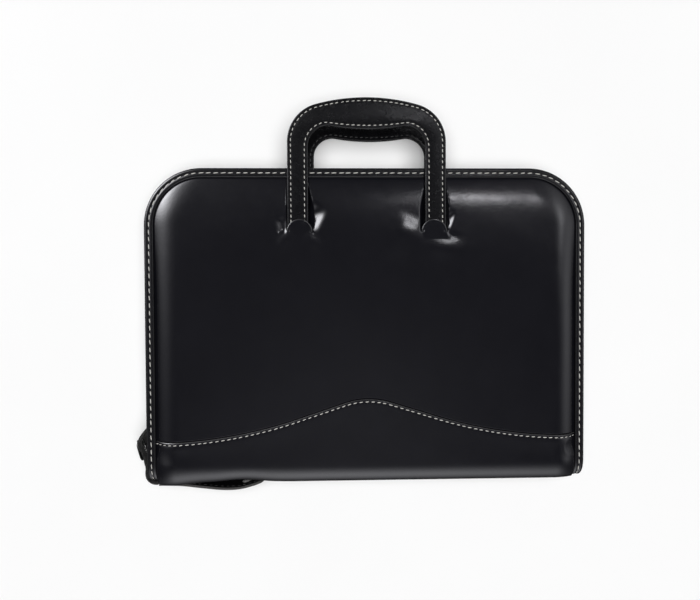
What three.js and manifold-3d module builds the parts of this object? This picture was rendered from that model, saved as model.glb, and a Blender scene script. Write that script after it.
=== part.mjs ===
// A zip-around leather portfolio lying on its back, with a flat handle that slides out of each face.
// Millimetres. X runs across the case, Y from the spine towards the handles, Z up out of the front face.
// A level is a distance from the middle plane of the case, so both faces share the same sizes.
import * as THREE from "three";
import { mergeVertices } from "three/addons/utils/BufferGeometryUtils.js";
import Module from "manifold-3d";

const wasm = await Module();
wasm.setup();

// Case
const CASE_WIDTH = 370;
const CASE_HEIGHT = 262;
const CASE_THICKNESS = 40;
const TOP_CORNER = 48;
const GAP = 0.3;

// Leather
const PANEL_LEATHER = 2.2;
const YOKE_LEATHER = 1.3;
const YOKE_PROUD = 0.8;
const BINDING_LEATHER = 1.2;
const TONGUE_LEATHER = 1.2;
const TONGUE_LENGTH = 8;
const SEAM_SETBACK = 0.4;
const TONGUE_SETBACK = 0.25;

// Padded face: flat rim under the binding, then a rise to the belly
const RIM_LEVEL = 10.8;
const SIDE_RUN = 22;
const TOP_LIP_SHARE = 0.22;
const TOP_LIP_RUN = 12;
const TOP_RUN = 80;

// Binding folded over the rim
const BINDING_WIDTH = 8;
const BINDING_OUTER = 12.3;
const BINDING_INNER = 6.4;
const BINDING_CHAMFER = 0.9;

// Yoke round the spine
const SPINE_ROUND = 16;
const SPINE_FLAT = 4;
const SPINE_END_FLAT = 1.5;
const SPINE_END_LIFT = 1;
const YOKE_PEAK = 69.5;
const YOKE_TILT = 0.0084;
const CREST_RADIUS = 61;
const YOKE_SLOPE = THREE.MathUtils.degToRad(17.85);
const SLOPE_END = 57.5;
const HOLLOW_RADIUS = 375;

// Handles
const HANDLE_TRAVEL = 45;
const HANDLE_TOP = 187.6;
const HANDLE_HALF_WIDTH = 65.6;
const LEG_WIDTH = 17;
const LEG_HIGH = 134;
const LEG_INNER = 15;
const LEG_THICKNESS = 2.8;
const GRIP_THICKNESS = 4.7;
const GRIP_LOW = 161.2;
const GRIP_SHOULDER = 164.1;
const OUTER_CORNER = 31.5;
const INNER_CORNER = 17;
const TOP_ARC = 158;
const FOOT_WIDTH = 24;
const FOOT_LOW = 54;
const FOOT_HIGH = 66;
const FOOT_NECK = 0.2;
const BACK_HANDLE_SHIFT = 4;
const BACK_HANDLE_DROP = 1.5;

// Slots that the handle legs slide through
const SLOT_CLEARANCE = 0.4;
const FLAP_TOP = 87.6;
const FLAP_RADIUS = 10.5;
const FLAP_STEP = 3;
const FLAP_FADE_HIGH = 40;
const FLAP_FADE_LOW = 0;
const FRONT_FLAP_LEVEL = 20.7;
const DENT_HALF_WIDTH = 10;
const DENT_SPREAD = 22;
const DENT_LOW = 66;
const DENT_HIGH = 84;

// Zip
const ZIP_INSET = 3.5;
const ZIP_START = -112;
const ZIP_EXIT = -76;
const TAPE_THICKNESS = 1;
const TAPE_HALF_WIDTH = 6.1;
const TAIL_HALF_WIDTH = 11;
const TAIL_WIDEN_START = 9;
const TAIL_WIDEN_END = 20;
const CHAIN_THICKNESS = 2;
const CHAIN_HALF_WIDTH = 2.6;

// Zip tail, bowed out past the side, then close round the spine corner and along the spine
const TAIL = [
  { x: -181.5, y: ZIP_EXIT },
  { x: -182.2, y: -80.5 },
  { x: -185.6, y: -86.5 },
  { x: -189.6, y: -92 },
  { x: -191.9, y: -97 },
  { x: -191.4, y: -102 },
  { x: -189.6, y: -107.5 },
  { x: -188, y: -113.5 },
  { x: -187.5, y: -120 },
  { x: -187.5, y: -126 },
  { x: -186.6, y: -131 },
  { x: -182, y: -134.4 },
  { x: -172, y: -134.7 },
  { x: -158, y: -135.2 },
  { x: -141, y: -137.2 },
  { x: -121, y: -139.2 },
  { x: -108, y: -138.6 },
  { x: -98, y: -136.2 },
  { x: -89, y: -133.4 },
];
const TAIL_DROP = 7.2;
const TAIL_DROP_START = 12;
const TAIL_DROP_END = 60;
const TAIL_STEPS = 16;
const TAB_START = 0.44;
const TAB_STEPS = 12;
const TAB_THICKNESS = 2.6;
const TAB_HALF_WIDTH = 12.5;
const TAB_END_ROUND = 8;
const RIVET_AT = 0.905;
const RIVET_SHANK = 2;
const RIVET_CAP = 4.4;
const RIVET_CROWN = 3.08;
const RIVET_CAP_HEIGHT = 1;
const RIVET_EDGE_HEIGHT = 0.4;

// Zip slider with its pull lying along the tail
const SLIDER_AT = 0.185;
const SLIDER_LENGTH = 12;
const SLIDER_WIDTH = 11;
const SLIDER_HEIGHT = 2.2;
const PULL_LENGTH = 16;
const PULL_WIDTH = 8;
const PULL_HEIGHT = 1.5;
const SLIDER_BEVEL = 0.4;

// How finely round stretches are divided
const CORNER_STEPS = 7;
const ROUND_STEPS = 5;
const LATHE_STEPS = 14;

// Points closer than this are one point
const SAME_POINT = 1e-4;

// Sizes that follow from the ones above
const HALF_WIDTH = CASE_WIDTH / 2;
const HALF_HEIGHT = CASE_HEIGHT / 2;
const BELLY_LEVEL = CASE_THICKNESS / 2;
const RIM_INSET = BINDING_LEATHER + 2 * GAP;
const BINDING_MIDDLE = (BINDING_OUTER + BINDING_INNER) / 2;
const BINDING_HALF = (BINDING_OUTER - BINDING_INNER) / 2;
const ROUND_Y = SPINE_ROUND - HALF_HEIGHT;
const TONGUE_DROP = YOKE_LEATHER + GAP;
const LEG_X = HANDLE_HALF_WIDTH - LEG_WIDTH / 2;
const DENT_LEVEL = LEG_INNER - SLOT_CLEARANCE;
const CREST_HALF = CREST_RADIUS * Math.sin(YOKE_SLOPE);
const CREST_LOW = YOKE_PEAK - CREST_RADIUS * (1 - Math.cos(YOKE_SLOPE));
const SLOPE_LOW = CREST_LOW - (SLOPE_END - CREST_HALF) * Math.tan(YOKE_SLOPE);
const HOLLOW_END = SLOPE_END + HOLLOW_RADIUS * Math.sin(YOKE_SLOPE);
const YOKE_END = SLOPE_LOW - HOLLOW_RADIUS * (1 - Math.cos(YOKE_SLOPE));

// Columns across a face: inset from the side of the case, then distance from its middle
const SIDE_INSETS = [RIM_INSET, BINDING_WIDTH, 11.3, 15.7, 21.2, BINDING_WIDTH + SIDE_RUN];
const FACE_COLUMNS = [140, 104, 73.5, 68, 64, 57, 50, 46, 40.5, 26, 13];
const HALF_COLUMNS = [...SIDE_INSETS.map((inset) => HALF_WIDTH - inset), ...FACE_COLUMNS];
const COLUMNS = [...HALF_COLUMNS.map((x) => -x), 0, ...HALF_COLUMNS.toReversed()];

// Rows down a face, and rows that follow the edge of the yoke
const RIM_ROWS = [HALF_HEIGHT - RIM_INSET, HALF_HEIGHT - BINDING_WIDTH];
const FACE_ROWS = [...RIM_ROWS, 120, 116, 111, 102, 95, 90.5, 87.5, 84, 79, 72, 60, 42, -40];
const SEAM_ROWS = [
  { above: SEAM_SETBACK, outerDrop: 0, innerDrop: PANEL_LEATHER },
  { above: TONGUE_SETBACK, outerDrop: TONGUE_DROP, innerDrop: TONGUE_DROP + TONGUE_LEATHER },
  { above: -TONGUE_LENGTH, outerDrop: TONGUE_DROP, innerDrop: TONGUE_DROP + TONGUE_LEATHER },
];

// Handle section from its outer to its inner edge: share of the width, and of the thickness on each face
const HANDLE_SECTION = [
  { across: 0, front: 0.7, back: 0.3 },
  { across: 0.1, front: 0.95, back: 0 },
  { across: 0.5, front: 1, back: 0 },
  { across: 0.9, front: 0.95, back: 0 },
  { across: 1, front: 0.7, back: 0.3 },
];

// Leather handle legs, left one from the foot up: height, width and thickness
const LEG_ROWS = [
  { y: FOOT_LOW, width: FOOT_WIDTH, thickness: LEG_THICKNESS },
  { y: FOOT_HIGH, width: FOOT_WIDTH, thickness: LEG_THICKNESS },
  { y: FOOT_HIGH + FOOT_NECK, width: LEG_WIDTH, thickness: LEG_THICKNESS },
  { y: LEG_HIGH, width: LEG_WIDTH, thickness: LEG_THICKNESS },
];

const clamp01 = (value) => Math.min(1, Math.max(0, value));
const ease = (share) => 1 - (1 - clamp01(share)) ** 2;
const smooth = (share) => clamp01(share) ** 2 * (3 - 2 * clamp01(share));
const mix = (from, to, share) => from + (to - from) * share;
const range = (count, make) => Array.from({ length: count }, (_, step) => make(step));

// Joins closed sections into one body. A section lists its outer side, then its inner side backwards.
function loft(sections, ring = false) {
  const size = sections[0].length;
  const index = [];
  const quad = (a, b, c, d) => index.push(a, b, c, a, c, d);
  const spans = ring ? sections.length : sections.length - 1;
  for (let span = 0; span < spans; span += 1) {
    const here = span * size;
    const next = ((span + 1) % sections.length) * size;
    for (let corner = 0; corner < size; corner += 1) {
      const after = (corner + 1) % size;
      quad(here + corner, here + after, next + after, next + corner);
    }
  }
  if (!ring) {
    const last = (sections.length - 1) * size;
    for (let corner = 0; corner < size / 2 - 1; corner += 1) {
      const mate = size - 1 - corner;
      quad(corner, mate, mate - 1, corner + 1);
      quad(last + corner, last + corner + 1, last + mate - 1, last + mate);
    }
  }
  const points = sections.flat();
  const geometry = new THREE.BufferGeometry().setFromPoints(points);
  geometry.setIndex(facesOut(points, index) ? index : index.reverse());
  return geometry;
}

function facesOut(points, index) {
  let volume = 0;
  for (let at = 0; at < index.length; at += 3) {
    const [a, b, c] = [points[index[at]], points[index[at + 1]], points[index[at + 2]]];
    volume += a.dot(b.clone().cross(c));
  }
  return volume > 0;
}

function toSolid(geometry) {
  const bare = geometry.clone();
  bare.deleteAttribute("normal");
  bare.deleteAttribute("uv");
  const shared = mergeVertices(bare, SAME_POINT);
  return new wasm.Manifold(new wasm.Mesh({
    numProp: 3,
    vertProperties: new Float32Array(shared.attributes.position.array),
    triVerts: new Uint32Array(shared.index.array),
  }));
}

function fromSolid(solid) {
  const mesh = solid.getMesh();
  const geometry = new THREE.BufferGeometry();
  geometry.setAttribute("position", new THREE.BufferAttribute(mesh.vertProperties, 3));
  geometry.setIndex(new THREE.BufferAttribute(mesh.triVerts, 1));
  return geometry;
}

function box(low, high) {
  const size = high.clone().sub(low);
  const middle = low.clone().add(high).multiplyScalar(0.5);
  return new THREE.BoxGeometry(size.x, size.y, size.z).translate(middle.x, middle.y, middle.z);
}

// Padded face
function sideRise(x) {
  return ease((HALF_WIDTH - Math.abs(x) - BINDING_WIDTH) / SIDE_RUN);
}

function topRise(y) {
  const inset = HALF_HEIGHT - y - BINDING_WIDTH;
  return TOP_LIP_SHARE * ease(inset / TOP_LIP_RUN) + (1 - TOP_LIP_SHARE) * ease(inset / TOP_RUN);
}

function faceLevel(x, y, flapLevel, handleShift) {
  const base = mix(RIM_LEVEL, BELLY_LEVEL, sideRise(x) * topRise(y));
  const aside = Math.abs(Math.abs(x - handleShift) - LEG_X);
  const beyond = Math.hypot(aside, Math.max(0, y - FLAP_TOP + FLAP_RADIUS)) - FLAP_RADIUS;
  const nearLeg = 1 - smooth((aside - DENT_HALF_WIDTH) / DENT_SPREAD);
  const aboveFlap = smooth((y - DENT_LOW) / (DENT_HIGH - DENT_LOW));
  const dented = base - Math.max(0, base - DENT_LEVEL) * nearLeg * aboveFlap;
  const underFlap = smooth(-beyond / FLAP_STEP);
  const fade = smooth((y - FLAP_FADE_LOW) / (FLAP_FADE_HIGH - FLAP_FADE_LOW));
  const raised = mix(base, Math.max(base, flapLevel), fade);
  return mix(dented, raised, underFlap);
}

// Bends the square grid of a face round the two top corners.
function roundedCorner(x, y) {
  const side = HALF_WIDTH - Math.abs(x);
  const top = HALF_HEIGHT - y;
  const inset = Math.min(side, top);
  const farther = Math.max(side, top);
  if (farther >= TOP_CORNER) {
    return new THREE.Vector2(x, y);
  }
  const radius = TOP_CORNER - inset;
  const turn = (1 - (farther - inset) / radius) * Math.PI / 4;
  const angle = side < top ? turn : Math.PI / 2 - turn;
  const across = HALF_WIDTH - TOP_CORNER + radius * Math.cos(angle);
  return new THREE.Vector2(Math.sign(x) * across, HALF_HEIGHT - TOP_CORNER + radius * Math.sin(angle));
}

// Height of the yoke's wavy top edge
function yokeEdge(x) {
  const out = Math.abs(x);
  let height = YOKE_END;
  if (out < CREST_HALF) {
    height = YOKE_PEAK - CREST_RADIUS + Math.sqrt(CREST_RADIUS ** 2 - out ** 2);
  } else if (out < SLOPE_END) {
    height = CREST_LOW - (out - CREST_HALF) * Math.tan(YOKE_SLOPE);
  } else if (out < HOLLOW_END) {
    height = YOKE_END + HOLLOW_RADIUS - Math.sqrt(HOLLOW_RADIUS ** 2 - (HOLLOW_END - out) ** 2);
  }
  return height + YOKE_TILT * x - HALF_HEIGHT;
}

function panelGeometry(flapLevel, handleShift) {
  const sections = COLUMNS.map((x) => {
    const outer = [];
    const inner = [];
    const addRow = (y, outerDrop, innerDrop) => {
      const place = roundedCorner(x, y);
      const level = faceLevel(x, y, flapLevel, handleShift);
      outer.push(new THREE.Vector3(place.x, place.y, level - outerDrop));
      inner.unshift(new THREE.Vector3(place.x, place.y, level - innerDrop));
    };
    FACE_ROWS.forEach((y) => addRow(y, 0, PANEL_LEATHER));
    SEAM_ROWS.forEach((row) => addRow(yokeEdge(x) + row.above, row.outerDrop, row.innerDrop));
    return [...outer, ...inner];
  });
  let panel = toSolid(loft(sections));
  const low = LEG_INNER - SLOT_CLEARANCE;
  const high = LEG_INNER + LEG_THICKNESS + SLOT_CLEARANCE;
  const footEnd = FOOT_LOW - HANDLE_TRAVEL - SLOT_CLEARANCE;
  for (const legX of [-LEG_X + handleShift, LEG_X + handleShift]) {
    const channel = (width, bottom, top) => {
      const half = width / 2 + SLOT_CLEARANCE;
      const from = new THREE.Vector3(legX - half, bottom, low);
      const to = new THREE.Vector3(legX + half, top, high);
      return toSolid(box(from, to));
    };
    panel = panel.subtract(channel(LEG_WIDTH, FOOT_LOW, HANDLE_TOP));
    panel = panel.subtract(channel(FOOT_WIDTH, footEnd, FOOT_HIGH + SLOT_CLEARANCE));
  }
  return fromSolid(panel);
}

function yokeGeometry() {
  const sections = COLUMNS.map((x) => {
    const rise = sideRise(x);
    const belly = mix(RIM_LEVEL, BELLY_LEVEL, rise);
    const flat = mix(SPINE_END_FLAT, SPINE_FLAT, rise);
    const depth = SPINE_ROUND - SPINE_END_LIFT * (1 - rise);
    const half = (edge, proud, inset) => {
      const level = belly + proud * rise - inset;
      const rows = [new THREE.Vector3(x, edge, level)];
      for (let step = 0; step <= ROUND_STEPS; step += 1) {
        const angle = (1 - step / ROUND_STEPS) * Math.PI / 2;
        const drop = (depth - inset) * Math.cos(angle);
        rows.push(new THREE.Vector3(x, ROUND_Y - drop, flat + (level - flat) * Math.sin(angle)));
      }
      return rows;
    };
    const wrap = (frontProud, inset) => {
      const front = half(yokeEdge(x), frontProud, inset);
      const back = half(yokeEdge(-x), 0, inset).map((point) => point.setZ(-point.z));
      return [...front, ...back.reverse()];
    };
    return [...wrap(YOKE_PROUD, 0), ...wrap(0, YOKE_LEATHER).reverse()];
  });
  return loft(sections);
}

// Edge of the case from the right end of the spine, over the top, to the left end
function borderPath(inset, low) {
  const radius = TOP_CORNER - inset;
  const across = HALF_WIDTH - TOP_CORNER;
  const up = HALF_HEIGHT - TOP_CORNER;
  const stations = [{ x: HALF_WIDTH - inset, y: low, angle: 0 }];
  for (const [centre, start] of [[across, 0], [-across, Math.PI / 2]]) {
    range(CORNER_STEPS + 1, (step) => start + (step / CORNER_STEPS) * Math.PI / 2).forEach((angle) => {
      stations.push({ x: centre + radius * Math.cos(angle), y: up + radius * Math.sin(angle), angle });
    });
  }
  stations.push({ x: inset - HALF_WIDTH, y: low, angle: Math.PI });
  return stations;
}

function bindingGeometry() {
  const thin = BINDING_HALF - BINDING_LEATHER;
  const section = [
    { inset: BINDING_WIDTH, out: BINDING_HALF },
    { inset: BINDING_CHAMFER, out: BINDING_HALF },
    { inset: 0, out: BINDING_HALF - BINDING_CHAMFER },
    { inset: 0, out: BINDING_CHAMFER - BINDING_HALF },
    { inset: BINDING_CHAMFER, out: -BINDING_HALF },
    { inset: BINDING_WIDTH, out: -BINDING_HALF },
    { inset: BINDING_WIDTH, out: -thin },
    { inset: BINDING_LEATHER, out: -thin },
    { inset: BINDING_LEATHER, out: thin },
    { inset: BINDING_WIDTH, out: thin },
  ];
  const stations = [];
  const turnDepth = SPINE_ROUND - SPINE_END_LIFT - RIM_LEVEL + BINDING_MIDDLE;
  const turnLevel = BINDING_MIDDLE - SPINE_END_FLAT;
  for (const face of [1, -1]) {
    borderPath(0, ROUND_Y).forEach(({ x, y, angle }) => {
      stations.push({
        edge: new THREE.Vector3(face * x, y, face * BINDING_MIDDLE),
        inward: new THREE.Vector3(-face * Math.cos(angle), -Math.sin(angle), 0),
        out: new THREE.Vector3(0, 0, face),
      });
    });
    const quarter = range(ROUND_STEPS, (step) => (1 - (step + 1) / ROUND_STEPS) * Math.PI / 2);
    const turn = [
      ...quarter.map((angle) => ({ angle, half: face })),
      ...quarter.toReversed().map((angle) => ({ angle, half: -face })),
    ];
    turn.forEach(({ angle, half }) => {
      const y = ROUND_Y - turnDepth * Math.cos(angle);
      const level = half * (SPINE_END_FLAT + turnLevel * Math.sin(angle));
      const out = new THREE.Vector3(0, -Math.cos(angle) / turnDepth, half * Math.sin(angle) / turnLevel);
      stations.push({
        edge: new THREE.Vector3(-face * HALF_WIDTH, y, level),
        inward: new THREE.Vector3(face, 0, 0),
        out: out.normalize(),
      });
    });
  }
  return loft(stations.map(({ edge, inward, out }) => section.map((corner) => (
    edge.clone().addScaledVector(inward, corner.inset).addScaledVector(out, corner.out)
  ))), true);
}

// A handle is drawn as pairs of points on its outer and inner edge, from the left foot to the right foot.
function handleGeometry() {
  const pairs = LEG_ROWS.map(({ y, width, thickness }) => ({
    outer: new THREE.Vector2(-LEG_X - width / 2, y),
    inner: new THREE.Vector2(-LEG_X + width / 2, y),
    thickness,
  }));
  const outerX = OUTER_CORNER - HANDLE_HALF_WIDTH;
  const arcY = HANDLE_TOP - TOP_ARC;
  const outerY = arcY + Math.sqrt((TOP_ARC - OUTER_CORNER) ** 2 - outerX ** 2);
  const meet = Math.PI - Math.atan2(outerY - arcY, -outerX);
  const innerX = LEG_WIDTH - HANDLE_HALF_WIDTH + INNER_CORNER;
  const innerY = GRIP_SHOULDER - INNER_CORNER;
  const sag = GRIP_SHOULDER - GRIP_LOW;
  const onCircle = (x, y, radius, angle) => new THREE.Vector2(
    x + radius * Math.cos(angle),
    y + radius * Math.sin(angle),
  );
  range(CORNER_STEPS + 1, (step) => step / CORNER_STEPS).forEach((share) => {
    pairs.push({
      outer: onCircle(outerX, outerY, OUTER_CORNER, mix(Math.PI, meet, share)),
      inner: onCircle(innerX, innerY, INNER_CORNER, mix(Math.PI, Math.PI / 2, share)),
      thickness: mix(LEG_THICKNESS, GRIP_THICKNESS, smooth(share)),
    });
  });
  range(CORNER_STEPS, (step) => (step + 1) / CORNER_STEPS).forEach((share) => {
    const x = mix(innerX, 0, share);
    pairs.push({
      outer: onCircle(0, arcY, TOP_ARC, mix(meet, Math.PI / 2, share)),
      inner: new THREE.Vector2(x, GRIP_LOW + sag * (x / innerX) ** 2),
      thickness: GRIP_THICKNESS,
    });
  });
  const flip = ({ outer, inner, thickness }) => ({
    outer: new THREE.Vector2(-outer.x, outer.y),
    inner: new THREE.Vector2(-inner.x, inner.y),
    thickness,
  });
  const whole = [...pairs, ...pairs.slice(0, -1).toReversed().map(flip)];
  return loft(whole.map(({ outer, inner, thickness }) => {
    const point = (across, level) => new THREE.Vector3(
      mix(outer.x, inner.x, across),
      mix(outer.y, inner.y, across),
      LEG_INNER + level * thickness,
    );
    const front = HANDLE_SECTION.map((row) => point(row.across, row.front));
    const back = HANDLE_SECTION.map((row) => point(row.across, row.back));
    return [...front, ...back.reverse()];
  }));
}

// Zip and its tail share one line round the case.
const tailCurve = new THREE.CatmullRomCurve3(TAIL.map(({ x, y }) => new THREE.Vector3(x, y, 0)));

function tailStation(share) {
  const point = tailCurve.getPointAt(share);
  const heading = tailCurve.getTangentAt(share);
  const past = share * tailCurve.getLength();
  return {
    x: point.x,
    y: point.y,
    angle: Math.atan2(-heading.x, heading.y),
    past,
    drop: TAIL_DROP * smooth((past - TAIL_DROP_START) / (TAIL_DROP_END - TAIL_DROP_START)),
  };
}

function zipPath() {
  const round = borderPath(ZIP_INSET, ZIP_START).slice(0, -1);
  const tail = range(TAIL_STEPS + 1, (step) => tailStation(TAB_START * step / TAIL_STEPS));
  return [...round.map((station) => ({ ...station, past: 0, drop: 0 })), ...tail];
}

function ribbonGeometry(stations, thickness, low, high) {
  return loft(stations.map((station) => {
    const aside = new THREE.Vector3(Math.cos(station.angle), Math.sin(station.angle), 0);
    const corner = (offset, level) => new THREE.Vector3(station.x, station.y, level(station) - station.drop)
      .addScaledVector(aside, offset * thickness);
    return [corner(0.5, low), corner(0.5, high), corner(-0.5, high), corner(-0.5, low)];
  }));
}

const tapeEdge = ({ past }) => {
  const widen = smooth((past - TAIL_WIDEN_START) / (TAIL_WIDEN_END - TAIL_WIDEN_START));
  return mix(TAPE_HALF_WIDTH, TAIL_HALF_WIDTH, widen);
};

function tabGeometry() {
  const length = tailCurve.getLength() * (1 - TAB_START) - GAP;
  const start = 1 - length / tailCurve.getLength();
  const rounding = 1 - Math.cos(Math.PI / 4);
  const stations = range(TAB_STEPS + 1, (step) => mix(start, 1, step / TAB_STEPS)).map(tailStation);
  const fromEnd = ({ past }) => tailCurve.getLength() - past;
  const half = (station) => {
    const away = clamp01(1 - fromEnd(station) / TAB_END_ROUND);
    return TAB_HALF_WIDTH - TAB_END_ROUND * rounding * away ** 2;
  };
  const strip = toSolid(ribbonGeometry(stations, TAB_THICKNESS, (station) => -half(station), half));
  const bore = RIVET_SHANK + GAP;
  const hole = new THREE.CylinderGeometry(bore, bore, 4 * TAB_THICKNESS, LATHE_STEPS);
  return fromSolid(strip.subtract(toSolid(atTail(hole, RIVET_AT))));
}

// Turns a piece drawn along Y so that Y points out of the tail's outer face.
function atTail(geometry, share) {
  const { x, y, angle, drop } = tailStation(share);
  return geometry.rotateZ(angle - Math.PI / 2).translate(x, y, -drop);
}

function rivetGeometry() {
  const half = TAB_THICKNESS / 2 + GAP;
  const edge = half + RIVET_EDGE_HEIGHT;
  const crown = half + RIVET_CAP_HEIGHT;
  const profile = [
    new THREE.Vector2(0, -crown),
    new THREE.Vector2(RIVET_CROWN, -crown),
    new THREE.Vector2(RIVET_CAP, -edge),
    new THREE.Vector2(RIVET_CAP, -half),
    new THREE.Vector2(RIVET_SHANK, -half),
    new THREE.Vector2(RIVET_SHANK, half),
    new THREE.Vector2(RIVET_CAP, half),
    new THREE.Vector2(RIVET_CAP, edge),
    new THREE.Vector2(RIVET_CROWN, crown),
    new THREE.Vector2(0, crown),
  ];
  return atTail(new THREE.LatheGeometry(profile, LATHE_STEPS), RIVET_AT);
}

function plate(length, width, height, bottom) {
  const shape = new THREE.Shape();
  const end = length / 2 - width / 2;
  const half = width / 2 - SLIDER_BEVEL;
  shape.absarc(end, 0, half, -Math.PI / 2, Math.PI / 2);
  shape.absarc(-end, 0, half, Math.PI / 2, Math.PI * 1.5);
  const solid = new THREE.ExtrudeGeometry(shape, {
    depth: height - 2 * SLIDER_BEVEL,
    bevelSize: SLIDER_BEVEL,
    bevelThickness: SLIDER_BEVEL,
    bevelSegments: 1,
    curveSegments: ROUND_STEPS,
  });
  return solid.translate(0, 0, bottom + SLIDER_BEVEL).rotateX(-Math.PI / 2);
}

function sliderGeometry() {
  const bottom = CHAIN_THICKNESS / 2 + GAP;
  const body = plate(SLIDER_LENGTH, SLIDER_WIDTH, SLIDER_HEIGHT, bottom);
  const pull = plate(PULL_LENGTH, PULL_WIDTH, PULL_HEIGHT, bottom + SLIDER_HEIGHT - SLIDER_BEVEL);
  pull.translate(SLIDER_LENGTH / 4 - PULL_LENGTH / 2, 0, 0);
  return atTail(fromSolid(toSolid(body).add(toSolid(pull))), SLIDER_AT);
}

function finish(color, roughness, metalness) {
  return new THREE.MeshStandardMaterial({ color, roughness, metalness });
}

const blackLeather = () => finish(0x121316, 0.3, 0);
const blackCloth = () => finish(0x17171a, 0.85, 0);
const darkMetal = () => finish(0x2b2b2d, 0.35, 1);
const brightMetal = () => finish(0xc9c9cc, 0.25, 1);

function piece(name, geometry, material) {
  geometry.computeVertexNormals();
  const mesh = new THREE.Mesh(geometry, material);
  mesh.name = name;
  return mesh;
}

const portfolio = new THREE.Group();
portfolio.name = "portfolio";
portfolio.position.z = BELLY_LEVEL;

const front = new THREE.Group();
front.add(piece("front_panel", panelGeometry(FRONT_FLAP_LEVEL, 0), blackLeather()));
front.add(piece("front_handle", handleGeometry(), blackLeather()));

// The back face is the front one turned over about Y.
const back = new THREE.Group();
back.rotation.y = Math.PI;
const backHandle = piece("back_handle", handleGeometry(), blackLeather());
backHandle.position.set(-BACK_HANDLE_SHIFT, -BACK_HANDLE_DROP, 0);
back.add(piece("back_panel", panelGeometry(BELLY_LEVEL, -BACK_HANDLE_SHIFT), blackLeather()));
back.add(backHandle);

const zip = zipPath();
const chainEdge = () => CHAIN_HALF_WIDTH;
const tapeStart = () => CHAIN_HALF_WIDTH + GAP;
const below = (level) => (station) => -level(station);

portfolio.add(front, back);
portfolio.add(piece("yoke", yokeGeometry(), blackLeather()));
portfolio.add(piece("binding", bindingGeometry(), blackLeather()));
const frontTape = ribbonGeometry(zip, TAPE_THICKNESS, tapeStart, tapeEdge);
const backTape = ribbonGeometry(zip, TAPE_THICKNESS, below(tapeEdge), below(tapeStart));
const chain = ribbonGeometry(zip, CHAIN_THICKNESS, below(chainEdge), chainEdge);
portfolio.add(piece("zip_tape_front", frontTape, blackCloth()));
portfolio.add(piece("zip_tape_back", backTape, blackCloth()));
portfolio.add(piece("zip_chain", chain, blackCloth()));
portfolio.add(piece("zip_slider", sliderGeometry(), darkMetal()));
portfolio.add(piece("tail_tab", tabGeometry(), blackLeather()));
portfolio.add(piece("tab_rivet", rivetGeometry(), brightMetal()));

export default portfolio;
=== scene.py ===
import math

import bmesh
import bpy
import numpy as np
from mathutils import Matrix


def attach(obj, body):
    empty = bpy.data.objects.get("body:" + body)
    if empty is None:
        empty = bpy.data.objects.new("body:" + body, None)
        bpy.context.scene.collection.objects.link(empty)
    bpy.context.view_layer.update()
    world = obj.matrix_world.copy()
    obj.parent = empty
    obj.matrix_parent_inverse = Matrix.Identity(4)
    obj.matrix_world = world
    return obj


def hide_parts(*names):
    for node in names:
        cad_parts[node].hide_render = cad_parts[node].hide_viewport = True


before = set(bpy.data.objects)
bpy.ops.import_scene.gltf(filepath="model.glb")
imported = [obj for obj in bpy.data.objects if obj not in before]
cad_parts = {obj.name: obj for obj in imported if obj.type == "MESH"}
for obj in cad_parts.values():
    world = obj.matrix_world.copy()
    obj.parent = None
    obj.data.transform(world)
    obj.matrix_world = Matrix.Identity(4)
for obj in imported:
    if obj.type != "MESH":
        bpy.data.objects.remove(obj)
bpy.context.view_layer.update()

rng = np.random.default_rng(7)

# Lengths are in millimetres in the CAD frame; those of materials, stage and camera are in metres.
# A level is a distance from the middle plane of the case, which lies BELLY_LEVEL above the floor.
MM = 0.001

# Case
HALF_WIDTH = 185.0
HALF_HEIGHT = 131.0
TOP_CORNER = 48.0
BELLY_LEVEL = 20.0
RIM_LEVEL = 10.8
SIDE_RUN = 20.0
TOP_FALL = 21.0
PANEL_LEATHER = 1.6

# Groove where a face dives under the binding, and the lift of its edge along the top
SIDE_GROOVE = 0.9
TOP_GROOVE = 0.3
GROOVE_WIDTH = 3.0
EDGE_LIFT = 1.2
EDGE_LIFT_RUN = 5.0

# Binding
BINDING_WIDTH = 8.0
BINDING_OUTER = 12.3
BINDING_INNER = 6.4
BINDING_HALF = (BINDING_OUTER - BINDING_INNER) / 2
BINDING_STITCH = 4.4

# Spine and yoke
SPINE_RUN = 18.0
SPINE_ROUND = 16.0
SPINE_FLAT = 4.0
SPINE_END_FLAT = 1.5
SPINE_END_LIFT = 1.0
SPINE_SAG = 2.2
LEFT_SAG = 2.5
END_DROP = 0.9
TAB_LIFT = 2.0
TAB_LIFT_X = -104.0
TAB_LIFT_RUN = 20.0
ROUND_Y = SPINE_ROUND - HALF_HEIGHT
YOKE_PROUD = 0.8
YOKE_LEATHER = 1.3
YOKE_STITCH = 1.9
YOKE_PEAK = 69.5
YOKE_TILT = 0.0084
YOKE_TUCK = 1.5
CREST_RADIUS = 61.0
YOKE_SLOPE = math.radians(17.85)
SLOPE_END = 57.5
HOLLOW_RADIUS = 375.0
RING_X, RING_Y = 172.0, -104.0
RING_RADIUS = 7.0

# Handles and their slots
LEG_X = 57.1
LEG_WIDTH = 17.0
LEG_INNER = 15.0
LEG_TOP = 17.8
LEG_THICKNESS = 2.8
FOOT_WIDTH = 24.0
FOOT_LOW = 54.0
FOOT_TOP = 66.0
HANDLE_TOP = 187.6
HANDLE_HALF = 65.6
HANDLE_STITCH = 2.9
OUTER_CORNER = 31.5
INNER_CORNER = 17.0
TOP_ARC = 158.0
GRIP_LOW = 161.2
GRIP_SHOULDER = 164.1
GRIP_THICKNESS = 4.7
GRIP_RIM = 3.1
BACK_SHIFT = 4.0
BACK_DROP = 1.5
SLOT_Y = 86.0
FLAP_X = 55.7
FLAP_TOP = 87.6
FLAP_RADIUS = 10.5
FLAP_Y = FLAP_TOP - FLAP_RADIUS
FLAP_LEVEL = 19.0
FLAP_LEATHER = 1.0
DENT_LEVEL = 14.6
GAP_INNER = 4.6
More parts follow.
